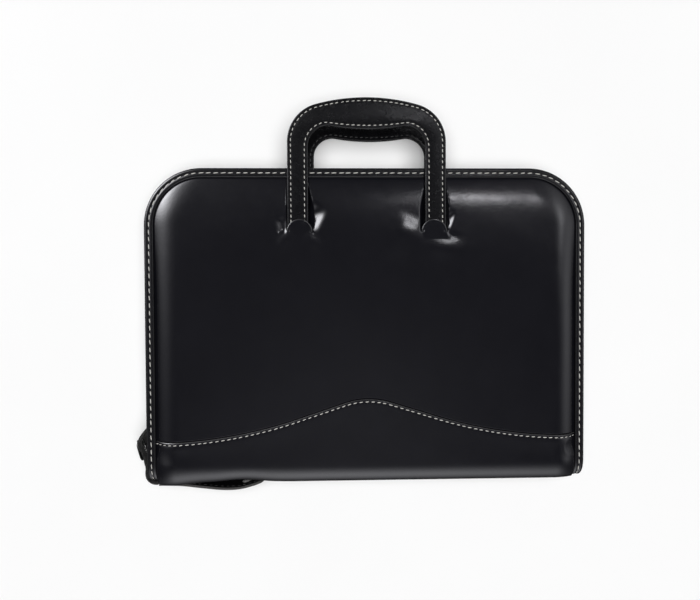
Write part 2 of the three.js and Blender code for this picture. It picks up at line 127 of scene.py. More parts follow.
GAP_OUTER = 0.5
GAP_NARROW = 1.0
GAP_WIDE = 2.8
GAP_FLARE = 0.36
GAP_DEPTH = 7.0
GAP_END = 94.0
BACK_GAP_END = 99.0
GAP_FADE = 26.0
LEG_SPARE = 0.35
FACE_SPARE = 0.2

# Zip and its tail, which leaves the case low on the left and runs under the spine
ZIP_INSET = 3.5
ZIP_START = -112.0
ZIP_EXIT = -76.0
TAPE_INNER = 2.9
TAPE_OUTER = 6.1
TAIL_TAPE_OUTER = 11.0
TAPE_THICKNESS = 1.0
TAPE_COLUMNS = 7
TOOTH_PITCH = 1.0
TOOTH_OFFSET = 0.95
TOOTH_TIP = 1.65
TOOTH_LONG, TOOTH_WIDE = 0.46, 0.92
SLIDER_SHARE = 0.185
SLIDER_LOW = 1.3
TAB_SHARE = 0.44
TAB_HALF = 12.5
TAB_ROUND = 8.0
TAB_THICK = 1.22
TAB_STITCH = 3.0
RIVET_SHARE = 0.905
TAIL_DROP = 7.2
TAIL = np.array([
    (-181.5, -76), (-182.2, -80.5), (-185.6, -86.5), (-189.6, -92), (-191.9, -97), (-191.4, -102),
    (-189.6, -107.5), (-188, -113.5), (-187.5, -120), (-187.5, -126), (-186.6, -131), (-182, -134.4),
    (-172, -134.7), (-158, -135.2), (-141, -137.2), (-121, -139.2), (-108, -138.6), (-98, -136.2),
    (-89, -133.4),
], dtype=float)

# Thread: pitch, length of a stitch, radius
BINDING_STITCHES = (6.1, 4.2, 0.38)
YOKE_STITCHES = (4.9, 3.2, 0.36)
HANDLE_STITCHES = (4.45, 2.9, 0.33)
TAB_STITCHES = (4.7, 3.0, 0.36)
STITCH_SLANT = 0.10
STITCH_SIDES = 6
STITCH_RINGS = 6

# Slow waves in the leather: weight, turn per millimetre across and up, share of the phase
WAVES = ((1.0, 0.037, 0.021, 1.0), (1.0, 0.019, -0.043, 2.1), (0.6, 0.071, 0.062, 3.7))
WAVE_HEIGHT = 0.11
WAVE_MOST = 2.85
FRONT_PHASE, BACK_PHASE = 0.4, 1.9
FRONT_YOKE_PHASE, BACK_YOKE_PHASE = 1.3, 2.9

# Leather round the slots of the left and the right leg, with middles given across and up from the slot
# Hollow: one slope by its middle, bearing uphill, slope in degrees, length, half width, run of its floor
HOLLOWS = {
    -1: ((16.0, 0.6, -25, 32.7, 8.0, 10.0, 14.0), (-15.4, -4.0, 187, 19.0, 5.0, 6.5, 9.0)),
    1: ((8.9, -15.2, 259, 3.2, 9.0, 12.0, 9.0), (12.9, -0.6, -20, 38.7, 2.9, 7.0, 6.0)),
}
# Swell: middle, bearing, length, width, height
SWELLS = {
    -1: ((-10.5, -16.0, 235, 9.0, 5.0, 0.7), (11.0, -16.0, 305, 9.0, 5.0, 0.7)),
    1: ((8.0, -22.0, 0, 16.0, 9.0, 1.15),),
}
# Fold, which rises at one slope and falls away behind: as a hollow, with the run behind at the end
FOLDS = {1: ((-21.4, -1.8, 248, 7.4, 12.0, 13.0, 32.0),)}
SLOPE_EASE = 0.3

# Sections. Lip of a flap: offset from its edge, height, wear
LIP_SECTION = (
    (-2.6, -0.02, 0), (-1.2, 0.04, 0), (-0.5, 0.01, 0.35), (-0.12, -0.12, 1), (0.0, -0.32, 1),
    (0.02, -0.6, 1), (-0.25, -0.85, 0.8), (-1.0, -0.98, 0.3), (-2.6, -0.98, 0),
)
# Binding: inset from the edge, share of the half thickness, wear
BINDING_SECTION = (
    (8.0, -0.05, 0.0), (8.0, 0.82, 0.1), (7.8, 0.95, 0.25), (7.4, 1.01, 0.1), (6.6, 1.05, 0.0),
    (5.8, 1.03, 0.0), (5.2, 0.97, 0.0), (4.8, 0.89, 0.0), (4.4, 0.84, 0.0), (4.0, 0.88, 0.0),
    (3.6, 0.95, 0.0), (3.1, 1.0, 0.0), (2.6, 1.01, 0.0), (2.1, 0.98, 0.0), (1.6, 0.91, 0.1),
    (1.1, 0.8, 0.4), (0.7, 0.67, 0.7), (0.35, 0.5, 0.7), (0.1, 0.28, 0.4), (0.0, 0.0, 0.2),
    (0.1, -0.28, 0.2), (0.35, -0.5, 0.3), (0.8, -0.72, 0.3), (1.4, -0.9, 0.1), (2.0, -1.0, 0.0),
    (8.0, -1.0, 0.3), (8.0, -0.6, 0.0), (1.2, -0.6, 0.0), (1.2, 0.6, 0.0),
)
# Tab: shares of the half width and of the half thickness; its cut edges are two of the columns
TAB_SECTION = (
    (1.0, -0.75), (0.985, -0.93), (0.94, -1.0), (0.0, -1.05), (-0.94, -1.0), (-0.985, -0.93), (-1.0, -0.75),
    (-1.0, 0.75), (-0.985, 0.93), (-0.94, 1.0), (0.0, 1.05), (0.94, 1.0), (0.985, 0.93), (1.0, 0.75),
)
TAB_CUT_EDGES = [6, 13]
# Tooth: level, size
TOOTH_SECTION = ((-1.6, 0.45), (-0.9, 1.0), (0.9, 0.9), (1.6, 0.55))
# Rivet: radius, height
RIVET_SECTION = ((0.01, 2.55), (1.3, 2.6), (2.6, 2.5), (3.5, 2.25), (4.1, 1.95), (4.4, 1.62), (4.3, 1.5),
                 (2.0, 1.46))
# Plates of the slider's body, its bridge and the pull: length, width, taper, place along the tail, and layers
# of inset and height
SLIDER_PLATES = (
    (12.0, 11.0, 0.12, 0.0, ((0.5, 0.0), (0.12, 0.15), (0.0, 0.5), (0.0, 1.5), (0.2, 1.95), (0.7, 2.2))),
    (8.0, 3.2, 0.0, 1.0, ((0.0, 2.1), (0.0, 2.7), (0.25, 3.1), (0.8, 3.25))),
    (16.0, 8.0, -0.1, -5.0, ((0.4, 1.85), (0.05, 2.05), (0.0, 2.4), (0.1, 2.95), (0.45, 3.25))),
)

# Stage
FLOOR_HALF = 4.0
FLOOR_LEVEL = -0.0004
BACKDROP_RADIUS = 3.9
BACKDROP_LEVELS = (-0.01, 3.0)
BACKDROP_SIDES = 96
FILL_STRENGTH = 3.6
FILL_SPREAD = math.radians(60)
# Soft glows round a dark room, which the polished leather mirrors: bearing from +X and height above the floor
# in degrees, strength, spread in degrees
GLOWS = (
    (142, 17, 17.0, 17),
    (142, 40, 0.9, 22),
    (270, 18, 2.2, 29),
    (0, 21, 0.9, 20),
    (170, 27, 0.45, 22),
    (32, 34, 0.8, 19),
    (24, 45, 2.2, 10),
    (62, 60, 20.0, 2.5),
    (57, 59, 1.0, 4),
    (60, 60, 0.35, 13),
    (280, 77, 0.17, 15),
)
ROOM = 0.015
ROOM_TINT = (0.985, 0.985, 1.03, 1.0)

# Camera: focal length and picture width in pixels of the photograph, turns in degrees, place
FOCAL_PIXELS = 592.5
PICTURE_PIXELS = 700.0
SENSOR_WIDTH = 36.0
CAMERA_TURNS = (("Y", -1.7714), ("X", -1.3295), ("Z", -0.2767))
CAMERA_PLACE = (-0.02960, 0.03226, 0.52760)


# Numbers, points and lines
def clamp01(v):
    return np.clip(v, 0.0, 1.0)


def soft_ramp(v, soft):
    def half(u):
        return np.where(u > soft, u, np.maximum(u + soft, 0) ** 2 / (4 * soft))
    return half(v) - half(v - 1)


def smooth(v):
    v = clamp01(v)
    return v * v * (3 - 2 * v)


def mix(a, b, share):
    return a + (b - a) * share


def bump(v, width):
    return np.exp(-(v / width) ** 2)


def plateau(v, width):
    return np.exp(-(v / width) ** 4)


def stacked(*coordinates):
    return np.stack(np.broadcast_arrays(*coordinates), axis=-1)


def raised(flat, level):
    return np.concatenate([flat, level[..., None]], axis=-1)


def unit(v):
    return v / np.linalg.norm(v, axis=-1, keepdims=True)


def circle(count):
    return np.linspace(0, 2 * math.pi, count, endpoint=False)


def run_of(line):
    return np.concatenate([[0], np.cumsum(np.linalg.norm(np.diff(line, axis=0), axis=1))])


def read_line(at, run, line):
    return stacked(*(np.interp(at, run, column) for column in line.T))


def spaced(stops):
    parts = [np.arange(a, b, step) for a, b, step in stops]
    return np.concatenate(parts + [[stops[-1][1]]])


def quad_corners(values):
    return np.stack([values[:-1, :-1], values[1:, :-1], values[1:, 1:], values[:-1, 1:]])


def add_object(name, data):
    thing = bpy.data.objects.new(name, data)
    bpy.context.scene.collection.objects.link(thing)
    return thing


# A mesh put together from grids of points; finish 0 is the face of the leather and 1 its cut edge
class Sheet:
    def __init__(self):
        self.points, self.faces, self.finish, self.wear = [], [], [], []
        self.count = 0

    def add(self, points, wear=0.0):
        points = np.asarray(points, dtype=float).reshape(-1, 3)
        start = self.count
        self.points.append(points)
        self.wear.append(np.broadcast_to(np.asarray(wear, dtype=float).reshape(-1), (len(points),)))
        self.count += len(points)
        return start

    def add_faces(self, faces, finish=0):
        self.faces.append(faces)
        self.finish.append(np.full(len(faces), finish))

    def grid(self, points, wrap_rows=False, wrap_columns=False, flip=False, keep=None, wear=0.0):
        rows, columns = points.shape[:2]
        start = self.add(points, np.broadcast_to(wear, (rows, columns)))
        row = np.arange(rows if wrap_rows else rows - 1)[:, None]
        column = np.arange(columns if wrap_columns else columns - 1)
        here, beyond = row * columns, (row + 1) % rows * columns
        after = (column + 1) % columns
        quads = stacked(here + column, beyond + column, beyond + after, here + after)
        if flip:
            quads = quads[..., ::-1]
        if keep is not None:
            quads = quads[keep]
        self.add_faces(quads.reshape(-1, 4) + start)
        return start

    def strip(self, first, second, finish=0):
        self.add_faces(stacked(first[:-1], first[1:], second[1:], second[:-1]), finish)

    # Cut edge all round two grids of one size
    def rim(self, first, second, rows, columns):
        border = np.concatenate([
            np.arange(columns),
            np.arange(1, rows) * columns + columns - 1,
            (rows - 1) * columns + np.arange(columns - 2, -1, -1),
            np.arange(rows - 2, -1, -1) * columns,
        ])
        self.strip(border + first, border + second, finish=1)

    def fan(self, ring, centre):
        self.add_faces(stacked(ring, np.roll(ring, -1), self.add([centre]), -1))

    # Closed body round a line, with a tip at both ends
    def tube(self, loops, first_tip, last_tip, flip=False):
        loops = np.asarray(loops)
        rows, columns = loops.shape[:2]
        ring = self.grid(loops, wrap_columns=True, flip=flip) + np.arange(columns)[::1 if flip else -1]
        self.fan(ring, first_tip)
        self.fan(ring[::-1] + (rows - 1) * columns, last_tip)

    # Flat closed body, whose section runs across its face and back across the other
    def band(self, section, wear=0.0):
        rows, columns = section.shape[:2]
        start = self.grid(section, wrap_columns=True, wear=wear)
        across = np.arange(columns // 2)
        for row in (0, rows - 1):
            self.strip(start + row * columns + across, start + (row + 1) * columns - 1 - across)

    def build(self, name, materials, sharp=50.0, face=1):
        points = np.concatenate(self.points) * MM
        if face < 0:
            points = points * np.array([-1.0, 1.0, -1.0])
        points = points + np.array([0.0, 0.0, BELLY_LEVEL * MM])
        faces = [[int(i) for i in row if i >= 0] for row in np.concatenate(self.faces)]
        mesh = bpy.data.meshes.new(name)
        mesh.from_pydata(points.tolist(), [], faces)
        mesh.polygons.foreach_set("material_index", np.concatenate(self.finish).astype(np.int32))
        mesh.polygons.foreach_set("use_smooth", np.ones(len(faces), dtype=bool))
        layer = mesh.attributes.new("wear", "FLOAT", "POINT")
        layer.data.foreach_set("value", np.concatenate(self.wear).astype(np.float32))
        for material in materials:
            mesh.materials.append(material)
        mesh.update()
        mesh.set_sharp_from_angle(angle=math.radians(sharp))
        return add_object(name, mesh)


def outward(piece):
    work = bmesh.new()
    work.from_mesh(piece.data)
    bmesh.ops.recalc_face_normals(work, faces=work.faces)
    work.to_mesh(piece.data)
    work.free()
    return piece


# Materials. Scales are repeats per metre, and the depths of relief are in metres.
def node_kit(name):
    material = bpy.data.materials.new(name)
    material.use_nodes = True
    tree = material.node_tree
    shader = tree.nodes["Principled BSDF"]
    place = tree.nodes.new("ShaderNodeTexCoord").outputs["Object"]
    return material, tree, shader, place


def plug(tree, socket, value):
    if isinstance(value, bpy.types.NodeSocket):
        tree.links.new(value, socket)
    else:
        socket.default_value = value


# Sets or links inputs of a node by name, with _ for each space
def feed(tree, node, **values):
    for name, value in values.items():
        plug(tree, node.inputs[name.replace("_", " ")], value)
    return node


def noise(tree, place, scale, detail=3.0, roughness=0.55):
    node = tree.nodes.new("ShaderNodeTexNoise")
    return feed(tree, node, Vector=place, Scale=scale, Detail=detail, Roughness=roughness).outputs["Fac"]


def cells(tree, place, scale):
    node = tree.nodes.new("ShaderNodeTexVoronoi")
    node.feature = "SMOOTH_F1"
    return feed(tree, node, Vector=place, Scale=scale).outputs["Distance"]


def ramp(tree, value, low, high):
    node = tree.nodes.new("ShaderNodeMapRange")
    feed(tree, node, Value=value, From_Min=0.3, From_Max=0.7, To_Min=low, To_Max=high)
    return node.outputs["Result"]


def blend_colour(tree, share, first, second):
    node = tree.nodes.new("ShaderNodeMix")
    node.data_type = "RGBA"
    for socket, colour in (("A", first), ("B", second)):
        spot = [s for s in node.inputs if s.name == socket and s.type == "RGBA"][0]
        plug(tree, spot, (*colour, 1.0) if isinstance(colour, tuple) else colour)
    tree.links.new(share, [s for s in node.inputs if s.name == "Factor" and s.type == "VALUE"][0])
    return [s for s in node.outputs if s.type == "RGBA"][0]


def raise_surface(tree, height, strength, depth, under=None):
    node = feed(tree, tree.nodes.new("ShaderNodeBump"), Strength=strength, Distance=depth, Height=height)
    if under is not None:
        feed(tree, node, Normal=under)
    return node.outputs["Normal"]


def leather(name, dark, light, rough_low, rough_high, gloss, grain, worn_colour=(0.040, 0.040, 0.041)):
    material, tree, shader, place = node_kit(name)
    wear = tree.nodes.new("ShaderNodeAttribute")
    wear.attribute_name = "wear"
    colour = blend_colour(tree, noise(tree, place, 38.0, 4.0), dark, light)
    colour = blend_colour(tree, wear.outputs["Fac"], colour, worn_colour)
    patches = noise(tree, place, 160.0, 5.0, 0.6)
    pores = raise_surface(tree, cells(tree, place, 1150.0), grain, 0.00025)
    creases = raise_surface(tree, noise(tree, place, 420.0, 4.0, 0.6), grain * 3.0, 0.0004, pores)
    feed(tree, shader, Base_Color=colour, Roughness=ramp(tree, patches, rough_low, rough_high),
         Specular_IOR_Level=gloss, Normal=creases)
    return material


def cut_edge(name, dark, light):
    material, tree, shader, place = node_kit(name)
    colour = blend_colour(tree, noise(tree, place, 700.0, 4.0), dark, light)
    fibres = raise_surface(tree, noise(tree, place, 1600.0, 5.0, 0.7), 0.35, 0.0004)
    feed(tree, shader, Base_Color=colour, Roughness=0.62, Normal=fibres)
    return material


def thread(name, dark, light):
    material, tree, shader, place = node_kit(name)
    colour = blend_colour(tree, noise(tree, place, 500.0), dark, light)
    fibres = raise_surface(tree, noise(tree, place, 3800.0), 0.4, 0.0002)
    feed(tree, shader, Base_Color=colour, Roughness=0.7, Sheen_Weight=0.25, Normal=fibres)
    return material


def cloth(name, dark, light):
    material, tree, shader, place = node_kit(name)
    colour = blend_colour(tree, noise(tree, place, 900.0), dark, light)
    weave = None
    for direction in ("X", "Y", "Z"):
        node = tree.nodes.new("ShaderNodeTexWave")
        node.wave_type = "BANDS"
        node.bands_direction = direction
        feed(tree, node, Vector=place, Scale=300.0, Distortion=0.6)
        weave = raise_surface(tree, node.outputs["Fac"], 0.3, 0.00025, weave)
    feed(tree, shader, Base_Color=colour, Roughness=0.88, Sheen_Weight=0.15, Normal=weave)
    return material


def moulded(name, dark, light, roughness, metallic, scratch):
    material, tree, shader, place = node_kit(name)
    colour = blend_colour(tree, noise(tree, place, 260.0, 4.0), dark, light)
    patches = ramp(tree, noise(tree, place, 520.0, 4.0), roughness * 0.75, roughness * 1.3)
    marks = raise_surface(tree, noise(tree, place, 2400.0, 4.0, 0.7), scratch, 0.0002)
    feed(tree, shader, Base_Color=colour, Metallic=metallic, Roughness=patches, Normal=marks)
    return material


POLISHED = leather("polished_black_leather", (0.0034, 0.0034, 0.0050), (0.0060, 0.0060, 0.0084),
                   0.11, 0.19, 0.5, 0.05, (0.045, 0.045, 0.047))
BOUND = leather("bound_black_leather", (0.0026, 0.0026, 0.0034), (0.0046, 0.0046, 0.0058),
                0.17, 0.25, 0.5, 0.08)
STRAP = leather("strap_black_leather", (0.0022, 0.0022, 0.0028), (0.0042, 0.0042, 0.0050),
                0.22, 0.30, 0.33, 0.10)
TAB = leather("tab_black_leather", (0.0020, 0.0020, 0.0024), (0.0036, 0.0036, 0.0042),
              0.34, 0.44, 0.12, 0.12)
EDGE = cut_edge("cut_edge", (0.05, 0.048, 0.047), (0.16, 0.155, 0.15))
TAB_EDGE = cut_edge("dark_cut_edge", (0.018, 0.0175, 0.017), (0.055, 0.053, 0.051))
THREAD = thread("white_thread", (0.42, 0.41, 0.38), (0.70, 0.68, 0.64))
# Dark thread; on the handles it is painted shade, darkening the stitches on the faces that turn toward the
# other handle
DARK_THREAD_AND_PAINTED_SHADE = thread("dark_thread_and_painted_shade", (0.020, 0.020, 0.021), (0.060, 0.058, 0.056))
CLOTH = cloth("zip_tape_cloth", (0.0032, 0.003, 0.003), (0.0085, 0.008, 0.0078))
TEETH = moulded("black_zip_teeth", (0.010, 0.010, 0.010), (0.022, 0.022, 0.023), 0.38, 0.0, 0.05)
SLIDER = moulded("dark_slider_metal", (0.022, 0.0215, 0.021), (0.050, 0.048, 0.046), 0.34, 1.0, 0.12)
NICKEL = moulded("bright_rivet_metal", (0.62, 0.61, 0.60), (0.80, 0.79, 0.78), 0.28, 0.55, 0.06)


# Case shape: a rise is 0 at the rim of a face and 1 on its belly
def side_rise(x):
    return 1 - np.maximum(1 - (HALF_WIDTH - np.abs(x) - BINDING_WIDTH) / SIDE_RUN, 0) ** 2


def top_rise(y):
    return 1 - np.exp(-(HALF_HEIGHT - y - BINDING_WIDTH) / TOP_FALL)


# The rise of a face, led round the two top corners without a fold
def face_rise(x, y):
    across = HALF_WIDTH - TOP_CORNER
    up = HALF_HEIGHT - TOP_CORNER
    out_x = np.abs(x) - across
    out_y = y - up
    reach = np.hypot(out_x, out_y)
    share = np.arctan2(np.maximum(out_y, 0), np.maximum(out_x, 1e-9)) / (math.pi / 2)
    share = mix(share, smooth(share), 0.5)
    bent = mix(side_rise(across + reach) * top_rise(up), top_rise(up + reach), share)
    return np.where((out_x > 0) & (out_y > 0), bent, side_rise(x) * top_rise(y))


# The same rises, evened out over a few millimetres, as padded leather lies
EVEN_OUT = np.linspace(-6, 6, 9)
EVEN_STEPS = tuple(zip(EVEN_OUT, bump(EVEN_OUT, 4.0) / bump(EVEN_OUT, 4.0).sum()))


def even_side(x):
    return np.maximum(sum(share * side_rise(x + step) for step, share in EVEN_STEPS), 0)


def even_face(x, y):
    return np.maximum(sum(share_x * share_y * face_rise(x + step_x, y + step_y)
                          for step_x, share_x in EVEN_STEPS for step_y, share_y in EVEN_STEPS), 0)


# Bends a square grid of points round the top corners
def rounded_corner(x, y):
    side = HALF_WIDTH - np.abs(x)
    top = HALF_HEIGHT - y
    inset = np.minimum(side, top)
    farther = np.maximum(side, top)
    radius = TOP_CORNER - inset
    safe = np.where(radius > 1e-6, radius, 1.0)
    turn = (1 - (farther - inset) / safe) * math.pi / 4
    angle = np.where(side < top, turn, math.pi / 2 - turn)
    bent = farther < TOP_CORNER
    across = HALF_WIDTH - TOP_CORNER + radius * np.cos(angle)
    up = HALF_HEIGHT - TOP_CORNER + radius * np.sin(angle)
    return np.where(bent, np.sign(x) * across, x), np.where(bent, up, y)


# Wavy top edge of the yoke: a crest, a straight slope and a hollow on each side
def yoke_edge(x):
    out = np.abs(x)
    crest_half = CREST_RADIUS * math.sin(YOKE_SLOPE)
    crest_low = YOKE_PEAK - CREST_RADIUS * (1 - math.cos(YOKE_SLOPE))
    slope_low = crest_low - (SLOPE_END - crest_half) * math.tan(YOKE_SLOPE)
    hollow_end = SLOPE_END + HOLLOW_RADIUS * math.sin(YOKE_SLOPE)
    end = slope_low - HOLLOW_RADIUS * (1 - math.cos(YOKE_SLOPE))
    crest = YOKE_PEAK - CREST_RADIUS + np.sqrt(np.maximum(CREST_RADIUS ** 2 - out ** 2, 0))
    slope = crest_low - (out - crest_half) * math.tan(YOKE_SLOPE)
    hollow = end + HOLLOW_RADIUS - np.sqrt(np.maximum(HOLLOW_RADIUS ** 2 - (hollow_end - out) ** 2, 0))
    height = np.select([out < crest_half, out < SLOPE_END, out < hollow_end], [crest, slope, hollow], end)
    return height + YOKE_TILT * x - HALF_HEIGHT


# Always inwards, so that the case keeps its box
def undulation(x, y, phase):
    wave = sum(weight * np.sin(x * across + y * up + share * phase) for weight, across, up, share in WAVES)
    wave = wave + 0.25 * np.sin(x * 0.19 + y * 0.12 + 5.0 * phase) * np.sin(y * 0.17 - x * 0.06 + phase)
    return WAVE_HEIGHT * (wave - WAVE_MOST)


def smooth_level(x, y, phase):
    wave = undulation(x, y, phase) * even_side(x) * smooth((HALF_HEIGHT - y - 14) / 30)
    return mix(RIM_LEVEL, BELLY_LEVEL, even_face(x, y)) + wave


def off_middle(x, shift, middle):
    return np.abs(np.abs(x - shift) - middle)


# Distances uphill and level from the middle of a hollow, swell or fold, and the rest of its row
def each_form(forms, x, y, shift):
    for side, rows in forms.items():
        for middle_x, middle_y, bearing, *rest in rows:
            across = x - shift - side * LEG_X - middle_x
            up = y - SLOT_Y - middle_y
            c = math.cos(math.radians(bearing))
            s = math.sin(math.radians(bearing))
            yield across * c + up * s, up * c - across * s, *rest


def hollows(x, y, shift):
    deepest = 0.0
    for uphill, level_way, slope, length, width, floor_run in each_form(HOLLOWS, x, y, shift):
        depth = math.tan(math.radians(slope)) * length
        part = depth * (1 - soft_ramp(uphill / length + 0.5, SLOPE_EASE)) * plateau(level_way, width)
        deepest = np.maximum(deepest, part * smooth((uphill + floor_run) / (0.6 * floor_run)))
    return deepest


def swells(x, y, shift):
    return sum(height * bump(along, length) * bump(aside, width)
               for along, aside, length, width, height in each_form(SWELLS, x, y, shift))


def folds(x, y, shift):
    total = 0.0
    for uphill, level_way, slope, length, width, behind in each_form(FOLDS, x, y, shift):
        height = math.tan(math.radians(slope)) * length * soft_ramp(uphill / length + 0.5, SLOPE_EASE)
        fall = 1 - smooth((uphill - 0.5 * length) / behind)
        total = total + height * fall * plateau(level_way, width)
    return total


def flap_reach(x, y, shift):
    return np.hypot(off_middle(x, shift, FLAP_X), np.maximum(0, y - FLAP_Y)) - FLAP_RADIUS


# Level of the leather where it covers the foot of a leg
def covered_level(x, y, shift, phase):
    plain = smooth_level(x, y, phase) + swells(x, y, shift) + folds(x, y, shift) - hollows(x, y, shift)
    tight = mix(3.5, 1.0, smooth((y - FLAP_Y + 4.0) / 4.0))
    roof = (1 - smooth((flap_reach(x, y, shift) - 0.1) / tight)) * smooth((y - 50) / 10)
    return mix(plain, np.maximum(plain, FLAP_LEVEL), roof)


# Open slot beside a leg, wider towards the middle of the case
def gap_width(x, y, shift):
    side = x - shift
    flared = np.clip(GAP_NARROW + GAP_FLARE * (y - FLAP_Y - 3.0), GAP_NARROW, GAP_WIDE)
    width = np.where(np.abs(side) < LEG_X, GAP_INNER, np.where(side > 0, flared, GAP_OUTER))
    start = GAP_END if shift == 0 else BACK_GAP_END
    return width * (1 - smooth((y - start) / GAP_FADE))


def panel_level(x, y, shift, phase):
    covered = covered_level(x, y, shift, phase)
    aside = off_middle(x, shift, LEG_X) - LEG_WIDTH / 2
    width = gap_width(x, y, shift)
    in_gap = 1 - soft_ramp((aside + 0.5) / (np.maximum(width, GAP_OUTER) + 0.5), 0.15)
    fade = 1 - smooth((y - 108) / 14)
    sunk = np.minimum(smooth_level(x, y, phase), DENT_LEVEL) - GAP_DEPTH * fade
    open_leg = smooth((y - FLAP_Y + 0.5) / 3.0) * smooth((flap_reach(x, y, shift) + 1.9) / 1.0)
    return mix(covered, sunk, in_gap * open_leg)


# Groove under the binding, deeper at the sides than at the top
def rim_groove(x, y):
    inset = np.minimum(HALF_WIDTH - np.abs(x), HALF_HEIGHT - y) - BINDING_WIDTH
    low = smooth((HALF_HEIGHT - y - 40) / 70)
    depth = mix(TOP_GROOVE, SIDE_GROOVE, low) * bump(np.maximum(inset, 0), GROOVE_WIDTH)
    lift = EDGE_LIFT * (1 - low) * smooth((inset + 0.2) / 1.6) * np.exp(-np.maximum(inset, 0) / EDGE_LIFT_RUN)
    return depth - lift


HALF_COLUMNS = spaced([(0, 30, 3.0), (30, 86, 0.8), (86, 148, 3.1), (148, 162, 1.6), (162, 183.2, 0.8)])
COLUMNS = np.concatenate([-HALF_COLUMNS[:0:-1], HALF_COLUMNS])
PANEL_ROWS = -spaced([(-129.2, -112, 0.9), (-112, -100, 1.2), (-100, -54, 0.8), (-54, -44, 2.0),
                      (-44, 40, 4.2)])
SEAM_SHARES = np.linspace(0, 1, 8)[1:]
SEAM_ABOVE = np.array([3.2, 2.3, 1.8, 1.5, 1.2, 0.9, 0.6, 0.2, -0.6, -2.0, -4.0, -6.0])


def panel_piece(name, face, shift, phase):
    seam = yoke_edge(COLUMNS)[:, None]
    lower = mix(PANEL_ROWS[-1], seam + 4.5, SEAM_SHARES)
    y = np.concatenate([np.broadcast_to(PANEL_ROWS, (len(COLUMNS), len(PANEL_ROWS))), lower,
                        seam + SEAM_ABOVE], axis=1)
    x = np.broadcast_to(COLUMNS[:, None], y.shape)
    px, py = rounded_corner(x, y)
    under_yoke = smooth((yoke_edge(x) + 1.2 - y) / 1.0)
    level = panel_level(px, py, shift, phase) - YOKE_TUCK * under_yoke - rim_groove(x, y)
    aside = off_middle(x, shift, LEG_X)
    thinned = (1 - smooth((aside - 13) / 4)) * smooth((y + 2) / 6)
    lower_level = level - mix(PANEL_LEATHER, FLAP_LEATHER, thinned)
    beyond = flap_reach(x, y, shift)
    in_way = (aside < 9.3) & (beyond > -3.2) & (beyond < 0.6) & (y > 74)

    # Leaves out the faces that a leg passes through
    def clear_of_leg(values):
        hit = in_way & (values > LEG_INNER - LEG_SPARE) & (values < LEG_TOP + LEG_SPARE)
        spans = quad_corners(values)
        crossing = (quad_corners(in_way).any(axis=0) & (spans.min(axis=0) < LEG_TOP + FACE_SPARE)
                    & (spans.max(axis=0) > LEG_INNER - FACE_SPARE))
        return ~(crossing | quad_corners(hit).any(axis=0))

    sheet = Sheet()
    top = sheet.grid(stacked(px, py, level), flip=True, keep=clear_of_leg(level))
    bottom = sheet.grid(stacked(px, py, lower_level), keep=clear_of_leg(lower_level))
    sheet.rim(top, bottom, *level.shape)
    for side in (-1, 1):
        flap_lip(sheet, side * FLAP_X + shift, shift, phase)
    return sheet.build(name, [POLISHED, EDGE], face=face)


# Cut edge of the leather over a handle leg: an arch with a rounded section
def flap_lip(sheet, middle_x, shift, phase):
    angle = np.radians(np.linspace(-6, 186, 37))
    way = stacked(np.cos(angle), np.sin(angle))
    fade = smooth((way[:, 1] * FLAP_RADIUS + 1.0) / 3.5)
    rows, wear = [], []
    for offset, height, worn in LIP_SECTION:
        x = middle_x + way[:, 0] * (FLAP_RADIUS + offset)
        y = FLAP_Y + way[:, 1] * (FLAP_RADIUS + offset)
        level = covered_level(x, y, shift, phase) + height * fade
        rows.append(stacked(x, y, level - 0.5 * (1 - fade)))
        wear.append(worn)
    sheet.grid(np.stack(rows, axis=1), flip=True, wear=wear)


# The yoke stays full up to the binding near the spine; it sags at its left end and is drawn up over the tab
def spine_profile(x, proud, inset, share=0.0):
    from_binding = HALF_WIDTH - np.abs(x) - BINDING_WIDTH
    inside = smooth((from_binding + 0.3) / 0.9)
    end_drop = END_DROP * np.maximum(1 - from_binding / SPINE_RUN, 0) ** 2
    near_spine = smooth(share)
    rise = mix(even_side(x), (1 - end_drop) * inside, near_spine)
    groove = rim_groove(x, ROUND_Y) * (1 - near_spine)
    level = mix(RIM_LEVEL, BELLY_LEVEL, rise) + proud * rise - inset - groove
    flat = mix(SPINE_END_FLAT, SPINE_FLAT, rise)
    sag = SPINE_SAG + LEFT_SAG * smooth((-x - 135) / 35) - TAB_LIFT * bump(x - TAB_LIFT_X, TAB_LIFT_RUN)
    depth = mix(SPINE_ROUND - SPINE_END_LIFT, SPINE_ROUND + sag, inside) - inset
    return level, flat, depth


def yoke_level(x, below, proud):
    groove = 0.28 * bump(below - YOKE_STITCH, 0.8)
    edge = 0.4 * (1 - smooth(below / 0.9)) ** 2
    return spine_profile(x, proud, 0.0)[0] - groove - edge


YOKE_INSETS = np.array([0, 0.25, 0.55, 0.95, 1.4, 1.9, 2.4, 2.9, 3.5, 4.3, 5.5])


# Rows of points from the wavy edge of one face to the middle of the spine
def yoke_half(x, proud, inset, phase, face):
    level, flat, depth = spine_profile(x, proud, inset)
    edge = yoke_edge(face * x)
    rows = []
    for below in YOKE_INSETS:
        rows.append(stacked(x, edge - below, yoke_level(x, below, proud) if inset == 0 else level))
    for share in np.linspace(0, 1, 16)[1:]:
        y = mix(edge - YOKE_INSETS[-1], ROUND_Y, share)
        level, flat, depth = spine_profile(x, proud, inset, share)
        wave = undulation(x, y, phase) * even_side(x) * np.sin(math.pi * share) if inset == 0 else 0.0
        rows.append(stacked(x, y, level + wave))
    for angle in np.linspace(math.pi / 2, 0, 13)[1:]:
        rows.append(stacked(x, ROUND_Y - depth * math.cos(angle), flat + (level - flat) * math.sin(angle)))
    return rows


# Faint ring pressed into the front at the lower right
def press_ring(points):
    reach = np.hypot(points[..., 0] - RING_X, points[..., 1] - RING_Y)
    ring = 0.22 * bump(reach - RING_RADIUS, 1.8) - 0.35 * (1 - smooth(reach / RING_RADIUS))
    points[..., 2] += np.where(points[..., 2] > 8, ring, 0)
    return points


